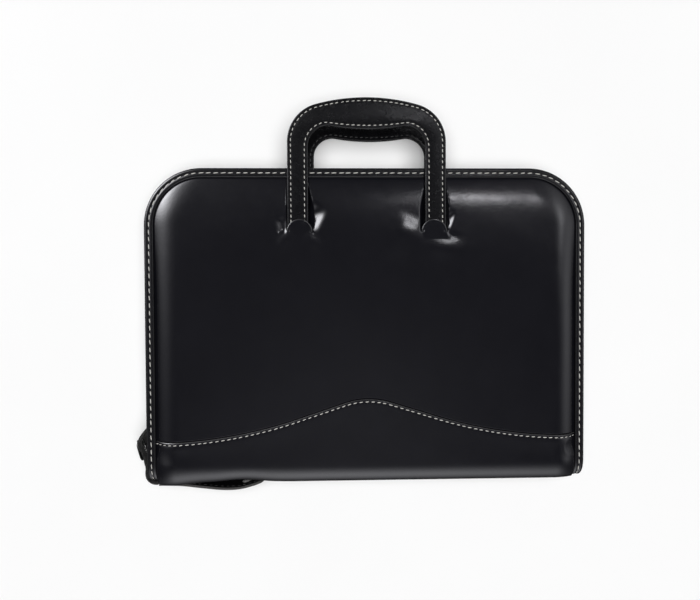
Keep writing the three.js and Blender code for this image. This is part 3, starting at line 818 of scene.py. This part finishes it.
def yoke_piece():
    def wrap(proud, inset):
        front = yoke_half(COLUMNS, proud, inset, FRONT_YOKE_PHASE, 1)
        back = yoke_half(COLUMNS, 0.0, inset, BACK_YOKE_PHASE, -1)
        return np.stack(front + [row * np.array([1.0, 1.0, -1.0]) for row in back[::-1]], axis=1)

    outer = press_ring(wrap(YOKE_PROUD, 0.0))
    wear = np.zeros(outer.shape[:2])
    wear[:, [0, -1]] = 1.0
    wear[:, [1, -2]] = 0.5
    sheet = Sheet()
    top = sheet.grid(outer, flip=True, wear=wear)
    bottom = sheet.grid(wrap(0.0, YOKE_LEATHER))
    sheet.rim(bottom, top, *outer.shape[:2])
    return sheet.build("yoke_leather", [POLISHED, EDGE])


# Line round the sides and the top: place and bearing outwards
def border_line(inset, low, steps=40, spacing=1.6):
    radius = TOP_CORNER - inset
    across = HALF_WIDTH - TOP_CORNER
    up = HALF_HEIGHT - TOP_CORNER
    side = np.arange(low, up, spacing)
    right = np.linspace(0, 1, steps) * math.pi / 2
    left = math.pi / 2 + right
    return np.concatenate([
        stacked(HALF_WIDTH - inset, side, 0.0),
        stacked(across + radius * np.cos(right), up + radius * np.sin(right), right),
        stacked(np.arange(across, -across, -spacing)[1:], HALF_HEIGHT - inset, math.pi / 2),
        stacked(-across + radius * np.cos(left), up + radius * np.sin(left), left),
        stacked(inset - HALF_WIDTH, side[::-1], math.pi),
    ])


# The binding is one loop: over the front, round one end of the spine, over the back, round the other end
def binding_stations():
    middle = (BINDING_OUTER + BINDING_INNER) / 2
    depth = SPINE_ROUND - SPINE_END_LIFT - RIM_LEVEL + middle
    height = middle - SPINE_END_FLAT
    edge, inward, out = [], [], []
    for face in (1, -1):
        for x, y, angle in border_line(0.0, ROUND_Y):
            edge.append((face * x, y, face * middle))
            inward.append((-face * math.cos(angle), -math.sin(angle), 0))
            out.append((0, 0, face))
        quarter = np.linspace(math.pi / 2, 0, 12)[1:]
        for angle, half in [(a, face) for a in quarter] + [(a, -face) for a in quarter[::-1]]:
            edge.append((-face * HALF_WIDTH, ROUND_Y - depth * math.cos(angle),
                         half * (SPINE_END_FLAT + height * math.sin(angle))))
            inward.append((face, 0, 0))
            out.append(unit(np.array([0, -math.cos(angle) / depth, half * math.sin(angle) / height])))
    return np.array(edge), np.array(inward), np.array(out)


def binding_piece(edge, inward, out):
    rows = [edge + inward * inset + out * (share * BINDING_HALF) for inset, share, _ in BINDING_SECTION]
    sheet = Sheet()
    sheet.grid(np.stack(rows, axis=1), wrap_rows=True, wrap_columns=True,
               wear=[worn for _, _, worn in BINDING_SECTION])
    return sheet.build("binding_leather", [BOUND])


# Thread: each stitch is a short rounded strand that dips into the leather at both ends
def stitches(sheet, line, normal, pitch, dash, radius):
    run = run_of(line)
    count = int(run[-1] / pitch)
    pitch = run[-1] / count
    turn = circle(STITCH_SIDES)
    for number in range(count):
        middle = (number + 0.5) * pitch + rng.normal(0, 0.03 * pitch)
        half = dash / 2 * (1 + rng.normal(0, 0.05))
        lean = STITCH_SLANT + rng.normal(0, 0.03)
        start = max(0.0, middle - half)
        first = read_line(start, run, line)
        up = unit(read_line(start, run, normal))
        last = read_line(min(run[-1], middle + half), run, line)
        span = np.linalg.norm(last - first)
        if span < 1e-6:
            continue
        along = (last - first) / span
        aside = unit(np.cross(up, along))
        loops = []
        for share in np.linspace(0, 1, STITCH_RINGS):
            bow = math.sin(math.pi * share)
            thick = radius * (0.55 + 0.45 * bow ** 0.5)
            centre = first + along * span * share + aside * lean * span * (share - 0.5)
            centre = centre + up * (radius * (0.75 * bow ** 0.6 - 0.55))
            loops.append(centre + thick * (np.cos(turn)[:, None] * aside + 0.8 * np.sin(turn)[:, None] * up))
        sheet.tube(loops, first - up * radius * 0.6, last - up * radius * 0.6)


def binding_thread(edge, inward, out):
    line = edge + inward * BINDING_STITCH + out * (BINDING_HALF * 0.87)
    sheet = Sheet()
    stitches(sheet, np.concatenate([line, line[:1]]), np.concatenate([out, out[:1]]), *BINDING_STITCHES)
    return sheet.build("binding_thread", [THREAD])


def yoke_thread():
    x = np.arange(-177.5, 177.6, 1.5)
    sheet = Sheet()
    for up, proud in ((1.0, YOKE_PROUD), (-1.0, 0.0)):
        level = yoke_level(x, YOKE_STITCH, proud)
        normal = unit(stacked(-np.gradient(level, x), 0.0, 1.0))
        line = stacked(x, yoke_edge(up * x) - YOKE_STITCH, level)
        mirror = np.array([1.0, 1.0, up])
        stitches(sheet, line * mirror, normal * mirror, *YOKE_STITCHES)
    return sheet.build("yoke_thread", [THREAD])


# Handle: pairs of points on the outer and the inner edge, from one foot round to the other
def handle_pairs():
    outer, inner, grip = [], [], []

    def add(first, second, share):
        outer.append(first)
        inner.append(second)
        grip.append(share)

    legs = [(FOOT_LOW, FOOT_WIDTH), (FOOT_TOP, FOOT_WIDTH), (FOOT_TOP + 0.4, LEG_WIDTH)]
    for y, width in legs + [(y, LEG_WIDTH) for y in np.arange(68.0, 134.5, 2.0)]:
        add((-LEG_X - width / 2, y), (-LEG_X + width / 2, y), 0.0)
    outer_x = OUTER_CORNER - HANDLE_HALF
    arc_y = HANDLE_TOP - TOP_ARC
    outer_y = arc_y + math.sqrt((TOP_ARC - OUTER_CORNER) ** 2 - outer_x ** 2)
    meet = math.pi - math.atan2(outer_y - arc_y, -outer_x)
    inner_x = LEG_WIDTH - HANDLE_HALF + INNER_CORNER
    inner_y = GRIP_SHOULDER - INNER_CORNER
    for share in np.linspace(0, 1, 26):
        a = mix(math.pi, meet, share)
        b = mix(math.pi, math.pi / 2, share)
        add((outer_x + OUTER_CORNER * math.cos(a), outer_y + OUTER_CORNER * math.sin(a)),
            (inner_x + INNER_CORNER * math.cos(b), inner_y + INNER_CORNER * math.sin(b)),
            float(smooth(share)))
    for share in np.linspace(0, 1, 22)[1:]:
        a = mix(meet, math.pi / 2, share)
        x = mix(inner_x, 0.0, share)
        low = GRIP_LOW + (GRIP_SHOULDER - GRIP_LOW) * (x / inner_x) ** 2
        add((TOP_ARC * math.cos(a), arc_y + TOP_ARC * math.sin(a)), (x, low), 1.0)
    outer, inner, grip = np.array(outer), np.array(inner), np.array(grip)
    flip = np.array([-1.0, 1.0])
    outer = np.concatenate([outer, (outer * flip)[-2::-1]])
    inner = np.concatenate([inner, (inner * flip)[-2::-1]])
    return outer, inner, np.concatenate([grip, grip[-2::-1]])


def rounded_edge(away, height, width):
    return height * (1 - np.sqrt(clamp01(1 - (1 - clamp01(away / width)) ** 2)))


# Levels of a handle's two faces, by the distance from its outer edge
def handle_front(distance, width, grip):
    away = np.minimum(distance, width - distance)
    groove = 0.26 * bump(away - HANDLE_STITCH, 0.75)
    flat_crown = 0.22 * smooth((away - 3.4) / (width / 2 - 3.4))
    full_crown = (GRIP_THICKNESS - 3.3) * soft_ramp((distance - 3.6) / 11.0, 0.25)
    crown = mix(flat_crown, full_crown, grip)
    rim = mix(LEG_THICKNESS - 0.15, GRIP_RIM, grip)
    return LEG_INNER + rim + crown - rounded_edge(away, 0.9, 0.9) - groove


def handle_back(distance, width):
    away = np.minimum(distance, width - distance)
    return LEG_INNER + rounded_edge(away, 0.7, 1.0) + 0.2 * bump(away - HANDLE_STITCH, 0.75)


EDGE_STEPS = np.array([0, 0.12, 0.35, 0.7, 1.2, 1.8, 2.4, 2.9, 3.4, 4.0])


def handle_piece(name, face, shift, pairs):
    outer, inner, grip = pairs
    width = np.linalg.norm(inner - outer, axis=1)
    distances = [np.full(len(width), d) for d in EDGE_STEPS]
    distances += [mix(EDGE_STEPS[-1], width - EDGE_STEPS[-1], share) for share in np.linspace(0, 1, 9)[1:-1]]
    distances += [width - d for d in EDGE_STEPS[::-1]]
    distance = np.stack(distances, axis=1)
    width = width[:, None]
    share = distance / width
    flat = outer[:, None, :] + (inner - outer)[:, None, :] * share[..., None] + np.array(shift)
    front = raised(flat, handle_front(distance, width, grip[:, None]))
    back = raised(flat, handle_back(distance, width))
    wear = 0.6 * (1 - smooth((np.minimum(distance, width - distance) - 0.1) / 0.8))
    sheet = Sheet()
    sheet.band(np.concatenate([front, back[:, ::-1]], axis=1), np.concatenate([wear, wear[:, ::-1]], axis=1))
    return sheet.build(name, [STRAP], face=face)


def handle_thread(name, face, shift, pairs, up, material):
    outer, inner, grip = pairs
    width = np.linalg.norm(inner - outer, axis=1)
    keep = (outer[:, 1] > 68) & (inner[:, 1] > 67)
    sheet = Sheet()
    for distance in (np.full(len(width), HANDLE_STITCH), width - HANDLE_STITCH):
        flat = outer + (inner - outer) * (distance / width)[:, None] + np.array(shift)
        level = handle_front(distance, width, grip) if up > 0 else handle_back(distance, width)
        line = raised(flat, level)[keep]
        stitches(sheet, line, np.full(line.shape, (0.0, 0.0, up)), *HANDLE_STITCHES)
    return sheet.build(name, [material], face=face)


# Tail: a smooth curve through its points, with spacing that keeps it free of loops
def tail_line(steps=40):
    points = np.concatenate([[2 * TAIL[0] - TAIL[1]], TAIL, [2 * TAIL[-1] - TAIL[-2]]])
    line = []
    for k in range(1, len(points) - 2):
        a, b, c, d = points[k - 1:k + 3]
        gaps = [max(np.linalg.norm(q - p) ** 0.5, 1e-4) for p, q in ((a, b), (b, c), (c, d))]
        first = ((b - a) / gaps[0] - (c - a) / (gaps[0] + gaps[1]) + (c - b) / gaps[1]) * gaps[1]
        second = ((c - b) / gaps[1] - (d - b) / (gaps[1] + gaps[2]) + (d - c) / gaps[2]) * gaps[1]
        t = np.linspace(0, 1, steps, endpoint=False)[:, None]
        line.append(b + first * t + (-3 * b + 3 * c - 2 * first - second) * t ** 2
                    + (2 * b - 2 * c + first + second) * t ** 3)
    return np.concatenate(line + [points[-2:-1]])


TAIL_LINE = tail_line()
TAIL_RUN = run_of(TAIL_LINE)
TAIL_LENGTH = TAIL_RUN[-1]
TAB_START = TAB_SHARE * TAIL_LENGTH + 0.3


def tail_at(run):
    point, ahead, behind = (read_line(run + step, TAIL_RUN, TAIL_LINE) for step in (0.0, 0.4, -0.4))
    heading = unit(ahead - behind)
    return point, heading, stacked(heading[..., 1], -heading[..., 0])


def tail_drop(run):
    return TAIL_DROP * smooth((run - 12.0) / 48.0)


# Zip line round the case and along the tail: place, way outwards, run along the tail
def zip_line():
    border = border_line(ZIP_INSET, ZIP_START)
    border = border[~((border[:, 0] < 0) & (border[:, 1] < ZIP_EXIT + 1.0))]
    run = np.arange(0, TAB_SHARE * TAIL_LENGTH, 1.6)
    point, _, aside = tail_at(run)
    place = np.concatenate([border[:, :2], point])
    away = np.concatenate([stacked(np.cos(border[:, 2]), np.sin(border[:, 2])), aside])
    return place, away, np.concatenate([np.zeros(len(border)), run])


def tape_piece(name, side, place, away, past):
    widen = smooth((past - 9.0) / 11.0)
    edge = mix(TAPE_OUTER, TAIL_TAPE_OUTER, widen)
    wave = 0.35 * widen * np.sin(past * 0.55)
    low, high = (TAPE_INNER, edge) if side > 0 else (-edge, -TAPE_INNER)
    faces = []
    for half in (0.5, -0.5):
        rows = []
        for share in np.linspace(0, 1, TAPE_COLUMNS):
            level = mix(low, high, share) - tail_drop(past)
            out = half * TAPE_THICKNESS + wave * np.sin(level * 0.9)
            rows.append(raised(place + away * out[:, None], level))
        faces.append(np.stack(rows, axis=1))
    sheet = Sheet()
    sheet.band(np.concatenate([faces[0], faces[1][:, ::-1]], axis=1))
    return sheet.build(name, [CLOTH])


def teeth_piece(place, away, past):
    zip_rows = np.concatenate([place, away, tail_drop(past)[:, None]], axis=1)
    run = run_of(zip_rows)
    count = int(round(run[-1] / TOOTH_PITCH)) + 1
    turn = circle(6)
    sheet = Sheet()
    places = read_line(np.linspace(0, run[-1], count), run, zip_rows)
    for number, (x, y, away_x, away_y, drop) in enumerate(places):
        side = 1 if number % 2 else -1
        out = unit(np.array([away_x, away_y, 0.0]))
        along = np.array([-out[1], out[0], 0.0])
        rise = np.array([0.0, 0.0, side])
        centre = np.array([x, y, side * TOOTH_OFFSET - drop])
        section = TOOTH_LONG * np.cos(turn)[:, None] * along + TOOTH_WIDE * np.sin(turn)[:, None] * out
        loops = [centre + level * rise + size * section for level, size in TOOTH_SECTION]
        sheet.tube(loops, centre - TOOTH_TIP * rise, centre + TOOTH_TIP * rise, flip=side < 0)
    return sheet.build("zip_teeth_rows", [TEETH], sharp=80.0)


def stadium(length, width, taper, steps=12):
    end = length / 2 - width / 2
    a = np.linspace(-math.pi / 2, math.pi / 2, steps)
    radius = width / 2 * (1 - taper)
    right = stacked(end + radius * np.cos(a), radius * np.sin(a))
    left = stacked(-end - width / 2 * np.cos(a), -width / 2 * np.sin(a))
    return np.concatenate([right, left])


# Plates with rounded outlines, layer on layer out from the tail
def slider_piece():
    run = SLIDER_SHARE * TAIL_LENGTH
    point, heading, aside = tail_at(run)
    sheet = Sheet()
    for length, width, taper, shift, layers in SLIDER_PLATES:
        outline = stadium(length, width, taper)
        way = unit(np.roll(outline, -1, axis=0) - np.roll(outline, 1, axis=0))
        out = stacked(way[:, 1], -way[:, 0])
        loops = []
        for inset, height in layers:
            flat = outline - out * inset + np.array([shift, 0.0])
            loops.append(raised(point - heading * flat[:, :1] + aside * (SLIDER_LOW + height),
                                -flat[:, 1] - tail_drop(run)))
        sheet.tube(loops, loops[0].mean(axis=0), loops[-1].mean(axis=0), flip=True)
    return sheet.build("zip_slider_and_pull", [SLIDER], sharp=35.0)


def tab_half(run):
    away = clamp01(1 - (TAIL_LENGTH - run) / TAB_ROUND)
    return TAB_HALF - TAB_ROUND * (1 - np.sqrt(np.maximum(1 - away ** 2, 0))) * 0.6


def tab_piece():
    run = np.linspace(TAB_START, TAIL_LENGTH, 74)
    point, _, aside = tail_at(run)
    rows = [raised(point + aside * (out * TAB_THICK), across * tab_half(run) - TAIL_DROP)
            for across, out in TAB_SECTION]
    loops = np.stack(rows, axis=1)
    sheet = Sheet()
    sheet.tube(loops, loops[0].mean(axis=0), loops[-1].mean(axis=0))
    finish = np.zeros((len(run) - 1, len(TAB_SECTION)))
    finish[:, TAB_CUT_EDGES] = 1
    sheet.finish[0] = finish.reshape(-1)
    return sheet.build("tail_tab_leather", [TAB, TAB_EDGE])


def tab_thread():
    run = np.arange(TAB_START + 3.0, TAIL_LENGTH - 4.0, 1.5)
    point, _, aside = tail_at(run)
    sheet = Sheet()
    for level in (-1, 1):
        for out in (-1, 1):
            line = raised(point + aside * (out * 1.24), level * (tab_half(run) - TAB_STITCH) - TAIL_DROP)
            stitches(sheet, line, raised(aside * out, np.zeros(len(run))), *TAB_STITCHES)
    return sheet.build("tail_tab_thread", [DARK_THREAD_AND_PAINTED_SHADE])


def rivet_piece():
    point, heading, aside = tail_at(RIVET_SHARE * TAIL_LENGTH)
    turn = circle(32)
    loops = []
    for radius, height in RIVET_SECTION + tuple((r, -h) for r, h in RIVET_SECTION[::-1]):
        flat = point + heading * (radius * np.cos(turn))[:, None] + aside * height
        loops.append(raised(flat, radius * np.sin(turn) - TAIL_DROP))
    sheet = Sheet()
    sheet.grid(np.array(loops), wrap_columns=True)
    return sheet.build("tab_rivet_cap", [NICKEL])


# Pieces
def put(piece, body, slot, *nodes):
    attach(piece, body)
    if nodes:
        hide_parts(*nodes)
    return piece


for label, face, shift, phase in (("front", 1, 0.0, FRONT_PHASE), ("back", -1, -BACK_SHIFT, BACK_PHASE)):
    panel = put(panel_piece(f"{label}_panel_leather", face, shift, phase), "case", "polished_leather",
                f"{label}_panel")
put(yoke_piece(), "case", "polished_leather", "yoke")

stations = binding_stations()
put(outward(binding_piece(*stations)), "case", "polished_leather", "binding")
put(outward(binding_thread(*stations)), "case", None)
put(outward(yoke_thread()), "case", None)

pairs = handle_pairs()
for label, face, shift in (("front", 1, (0.0, 0.0)), ("back", -1, (-BACK_SHIFT, -BACK_DROP))):
    grip = put(outward(handle_piece(f"{label}_handle_leather", face, shift, pairs)), f"{label}_grip",
               "polished_leather", f"{label}_handle")
    # The thread on the faces turned toward the other handle is darkened: painted shade between the two
    # handles
    for kind, up, material in (("thread", 1.0, THREAD), ("dark_thread_and_painted_shade", -1.0, DARK_THREAD_AND_PAINTED_SHADE)):
        put(outward(handle_thread(f"{label}_handle_{kind}", face, shift, pairs, up, material)),
            f"{label}_grip", None)

zip_way = zip_line()
for label, side in (("front", 1), ("back", -1)):
    put(outward(tape_piece(f"{label}_zip_tape_cloth", side, *zip_way)), "case", "zip_cloth",
        f"zip_tape_{label}")
put(outward(teeth_piece(*zip_way)), "case", "zip_teeth", "zip_chain")
put(outward(slider_piece()), "case", "slider_metal", "zip_slider")
put(outward(tab_piece()), "case", "polished_leather", "tail_tab")
put(outward(tab_thread()), "case", None)
put(outward(rivet_piece()), "case", "rivet_metal", "tab_rivet")


# Floor, and a pale backdrop all round for the camera alone
def stage_mesh(name, points, faces, material):
    mesh = bpy.data.meshes.new(name)
    mesh.from_pydata(points, [], faces)
    mesh.materials.append(material)
    return add_object(name, mesh)


material, tree, shader, place = node_kit("pale_floor")
floor_colour = blend_colour(tree, noise(tree, place, 6.0), (0.83, 0.83, 0.83), (0.86, 0.86, 0.86))
feed(tree, shader, Base_Color=floor_colour, Roughness=0.7, Specular_IOR_Level=0.2)
floor_corners = [(x * FLOOR_HALF, y * FLOOR_HALF, FLOOR_LEVEL)
                 for x, y in ((-1, -1), (1, -1), (1, 1), (-1, 1))]
floor = stage_mesh("floor", floor_corners, [(0, 1, 2, 3)], material)
floor.visible_glossy = False

material, tree, shader, _ = node_kit("pale_backdrop")
feed(tree, shader, Base_Color=(0.0, 0.0, 0.0, 1.0), Specular_IOR_Level=0.0,
     Emission_Color=(0.9, 0.9, 0.9, 1.0), Emission_Strength=1.0)
backdrop_points = [(BACKDROP_RADIUS * math.cos(turn), BACKDROP_RADIUS * math.sin(turn), z)
                   for z in BACKDROP_LEVELS for turn in circle(BACKDROP_SIDES)]
backdrop_faces = [(k, after, BACKDROP_SIDES + after, BACKDROP_SIDES + k)
                  for k, after in enumerate(np.roll(np.arange(BACKDROP_SIDES), -1).tolist())]
backdrop = stage_mesh("backdrop", backdrop_points, backdrop_faces, material)
for ray in ("diffuse", "glossy", "transmission", "shadow", "volume_scatter"):
    setattr(backdrop, f"visible_{ray}", False)

# Light: the glows, seen in reflections, and an even fill from above
scene = bpy.context.scene
world = bpy.data.worlds.new("studio")
scene.world = world
world.use_nodes = True
world.cycles_visibility.diffuse = False
sky = world.node_tree
sight = sky.nodes.new("ShaderNodeTexCoord").outputs["Generated"]


def sky_math(first, second, operation="ADD"):
    node = sky.nodes.new("ShaderNodeMath")
    node.operation = operation
    for socket, value in zip(node.inputs, (first, second)):
        plug(sky, socket, value)
    return node.outputs["Value"]


def glow(bearing, height, strength, spread):
    bearing, height, spread = (math.radians(v) for v in (bearing, height, spread))
    across = math.cos(height)
    facing = sky.nodes.new("ShaderNodeVectorMath")
    facing.operation = "DOT_PRODUCT"
    toward = (across * math.cos(bearing), across * math.sin(bearing), math.sin(height))
    plug(sky, facing.inputs[0], sight)
    plug(sky, facing.inputs[1], toward)
    fall = 2 / spread ** 2
    power = sky_math(sky_math(facing.outputs["Value"], fall, "MULTIPLY"), math.log(strength) - fall)
    return sky_math(math.e, power, "POWER")


brightness = ROOM
for entry in GLOWS:
    brightness = sky_math(glow(*entry), brightness)
feed(sky, sky.nodes["Background"], Color=ROOM_TINT, Strength=brightness)

fill_data = bpy.data.lights.new("overhead_fill", "SUN")
fill_data.energy = FILL_STRENGTH
fill_data.angle = FILL_SPREAD
add_object("overhead_fill", fill_data).visible_glossy = False

# Camera
camera_data = bpy.data.cameras.new("camera")
camera_data.sensor_fit = "HORIZONTAL"
camera_data.sensor_width = SENSOR_WIDTH
camera_data.lens = FOCAL_PIXELS / PICTURE_PIXELS * SENSOR_WIDTH
camera_data.clip_start = 0.01
camera = add_object("camera", camera_data)
camera_way = Matrix.Translation(CAMERA_PLACE)
for axis, degrees in CAMERA_TURNS:
    camera_way = camera_way @ Matrix.Rotation(math.radians(degrees), 4, axis)
camera.matrix_world = camera_way
scene.camera = camera
scene.view_settings.view_transform = "Standard"
